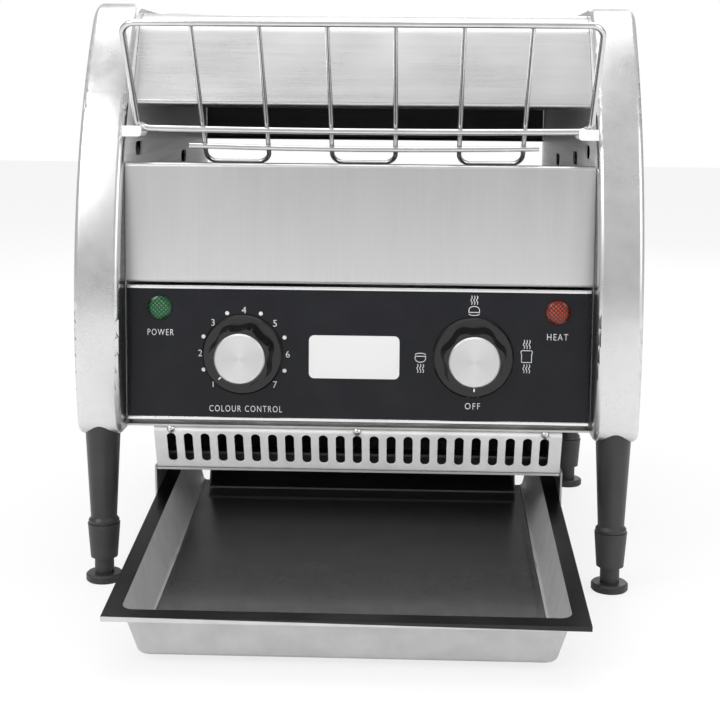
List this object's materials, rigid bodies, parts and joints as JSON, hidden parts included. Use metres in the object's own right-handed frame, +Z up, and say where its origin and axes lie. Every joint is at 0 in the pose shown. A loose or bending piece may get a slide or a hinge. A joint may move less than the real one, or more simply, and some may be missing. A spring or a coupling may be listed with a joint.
{
  "type": "conveyor toaster",
  "caption": "Countertop conveyor toaster: curved steel side housings, wire loading rack, heated belt tunnel, dial panel, slotted vent and a sloping exit tray on screw-footed legs.",
  "frame": {"origin": "on the worktop, under the middle of the overall outline (centre of its bounding rectangle)", "axes": "+X to the right as seen by a person facing the controls, +Y from the front towards the back of the machine, +Z up"},
  "size_m": [0.371, 0.5582, 0.388],
  "materials": {
    "cover_steel": "satin brushed stainless steel",
    "panel_steel": "satin stainless steel, vertical brushing",
    "inner_steel": "plain mill stainless steel",
    "bright_trim": "bright stainless steel",
    "black_plate": "gloss black",
    "badge_white": "blank, white",
    "zinc_steel": "zinc plated",
    "screw_steel": "bright plated",
    "tray_steel": "pressed stainless steel",
    "belt_wire": "stainless wire",
    "shaft_steel": "ground steel",
    "sprocket_steel": "machined steel",
    "chain_steel": "oiled steel",
    "bronze": "sintered bronze",
    "quartz": "milky quartz tube",
    "ceramic": "glazed ceramic",
    "knob_black": "gloss black",
    "cap_metal": "spun",
    "spindle_brass": "turned",
    "green_lens": "faceted translucent green",
    "amber_lens": "faceted translucent orange",
    "control_plastic": "moulded",
    "switch_plastic": "moulded",
    "motor_metal": "grey paint",
    "fan_plastic": "moulded black",
    "leg_plastic": "moulded black",
    "foot_plastic": "moulded black",
    "rack_wire": "plated wire",
    "gland_plastic": "moulded black"
  },
  "bodies": {
    "toaster": {"base_pan": "zinc_steel", "blank_badge": "badge_white", "cable_gland": "gland_plastic", "chassis_plate": "zinc_steel", "component_rail": "zinc_steel", "control_panel": "bright_trim", "control_plate": "black_plate", "conveyor_belt": "belt_wire", "cover_screws": "screw_steel", "drive_chain": "chain_steel", "fan_housing": "fan_plastic", "front_left_leg": "leg_plastic", "front_panel": "panel_steel", "front_right_leg": "leg_plastic", "gear_motor": "motor_metal", "grille_screws": "screw_steel", "heat_lamp_lens": "amber_lens", "heat_shield": "inner_steel", "heater_holders": "ceramic", "hood": "cover_steel", "lamp_bodies": "control_plastic", "left_inner_plate": "inner_steel", "left_side_cover": "cover_steel", "lower_heaters": "quartz", "lower_reflector": "inner_steel", "mode_switch": "switch_plastic", "power_lamp_lens": "green_lens", "rear_guide": "inner_steel", "rear_left_leg": "leg_plastic", "rear_panel": "panel_steel", "rear_right_leg": "leg_plastic", "right_inner_plate": "inner_steel", "right_side_cover": "cover_steel", "shaft_bushes": "bronze", "slide_plate": "inner_steel", "speed_control": "control_plastic", "tray_runners": "zinc_steel", "upper_heaters": "quartz", "upper_reflector": "inner_steel", "vent_grille": "panel_steel"},
    "colour_dial": {"colour_knob": "knob_black", "colour_knob_cap": "cap_metal", "colour_spindle": "spindle_brass"},
    "mode_dial": {"mode_knob": "knob_black", "mode_knob_cap": "cap_metal", "mode_spindle": "spindle_brass"},
    "tray": {"exit_tray": "tray_steel"},
    "rack": {"loading_rack": "rack_wire"},
    "rear_shaft": {"drive_shaft": "shaft_steel", "drive_sprockets": "sprocket_steel", "chain_wheel": "sprocket_steel"},
    "front_shaft": {"idler_shaft": "shaft_steel", "idler_sprockets": "sprocket_steel"},
    "motor_output": {"motor_shaft": "shaft_steel", "motor_sprocket": "sprocket_steel"},
    "fan": {"fan_impeller": "fan_plastic"},
    "front_left_screw_foot": {"front_left_foot": "foot_plastic"},
    "front_right_screw_foot": {"front_right_foot": "foot_plastic"},
    "rear_left_screw_foot": {"rear_left_foot": "foot_plastic"},
    "rear_right_screw_foot": {"rear_right_foot": "foot_plastic"}
  },
  "joints": [
    {"name": "colour_dial_turn", "type": "hinge", "parent": "toaster", "child": "colour_dial", "pos_m": [-0.0765, -0.1246, 0.1541], "axis": [0, 1, 0], "range_deg": [0, 270]},
    {"name": "mode_dial_turn", "type": "hinge", "parent": "toaster", "child": "mode_dial", "pos_m": [0.0765, -0.1246, 0.1541], "axis": [0, 1, 0], "range_deg": [0, 270]},
    {"name": "tray_slide", "type": "slide", "parent": "toaster", "child": "tray", "axis": [0, -0.994, -0.1094], "range_m": [0, 0.25]},
    {"name": "rack_lift_off", "type": "slide", "parent": "toaster", "child": "rack", "axis": [0, 0, 1], "range_m": [0, 0.06]},
    {"name": "belt_drive_turn", "type": "hinge", "parent": "toaster", "child": "rear_shaft", "pos_m": [0, 0.1854, 0.2402], "axis": [-1, 0, 0], "continuous": true},
    {"name": "idler_turn", "type": "hinge", "parent": "toaster", "child": "front_shaft", "pos_m": [0, -0.0746, 0.2402], "axis": [-1, 0, 0], "continuous": true},
    {"name": "motor_turn", "type": "hinge", "parent": "toaster", "child": "motor_output", "pos_m": [0.155, 0.0354, 0.15], "axis": [-1, 0, 0], "continuous": true},
    {"name": "fan_spin", "type": "hinge", "parent": "toaster", "child": "fan", "pos_m": [-0.066, 0.0354, 0.1128], "axis": [0, 1, 0], "continuous": true},
    {"name": "front_left_foot_turn", "type": "hinge", "parent": "toaster", "child": "front_left_screw_foot", "pos_m": [-0.1692, -0.1206, 0.04], "axis": [0, 0, 1], "continuous": true},
    {"name": "front_right_foot_turn", "type": "hinge", "parent": "toaster", "child": "front_right_screw_foot", "pos_m": [0.1692, -0.1206, 0.04], "axis": [0, 0, 1], "continuous": true},
    {"name": "rear_left_foot_turn", "type": "hinge", "parent": "toaster", "child": "rear_left_screw_foot", "pos_m": [-0.1692, 0.1404, 0.04], "axis": [0, 0, 1], "continuous": true},
    {"name": "rear_right_foot_turn", "type": "hinge", "parent": "toaster", "child": "rear_right_screw_foot", "pos_m": [0.1692, 0.1404, 0.04], "axis": [0, 0, 1], "continuous": true}
  ],
  "couplings": [
    {"joint": "idler_turn", "follows": "belt_drive_turn", "ratio": 1},
    {"joint": "motor_turn", "follows": "belt_drive_turn", "ratio": 2}
  ]
}
